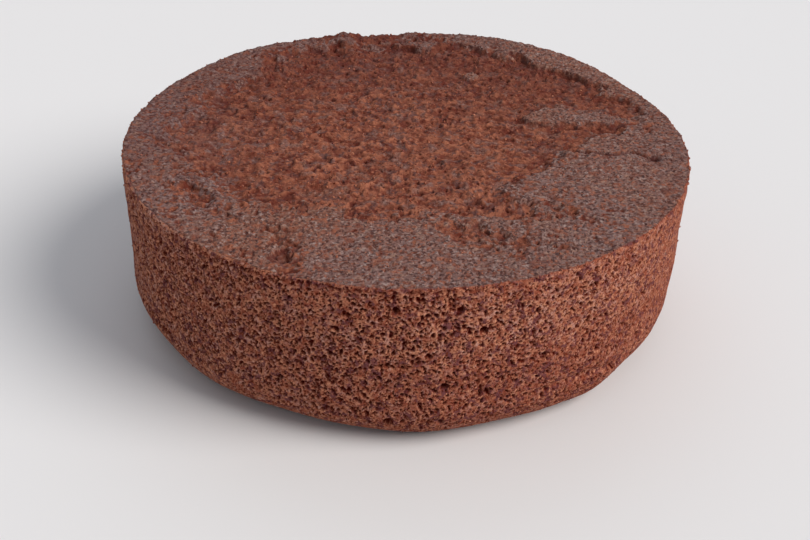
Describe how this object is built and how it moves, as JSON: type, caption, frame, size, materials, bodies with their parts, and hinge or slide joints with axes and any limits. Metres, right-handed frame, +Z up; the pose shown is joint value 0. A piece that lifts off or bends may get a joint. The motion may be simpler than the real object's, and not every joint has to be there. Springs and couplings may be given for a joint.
{
  "type": "chocolate sponge cake",
  "caption": "Uncut round chocolate sponge cake with a level, partly torn baked skin on top, an open-crumb wall and a rounded lower edge, resting on its flat base.",
  "frame": {"origin": "middle of the flat base, at the centre of the cake's bounding box", "axes": "+Z up through the cake, -Y towards the side that faces the viewer, +X to the viewer's right"},
  "size_m": [0.2003, 0.2002, 0.0631],
  "materials": {
    "chocolate_crumb": "Edible chocolate sponge crumb, not plastic: matt dark brown open crumb with pores of about 1 mm, under a smooth greyish brown baked skin on part of the top."
  },
  "bodies": {
    "root": {"sponge_cake": "chocolate_crumb"}
  },
  "joints": []
}
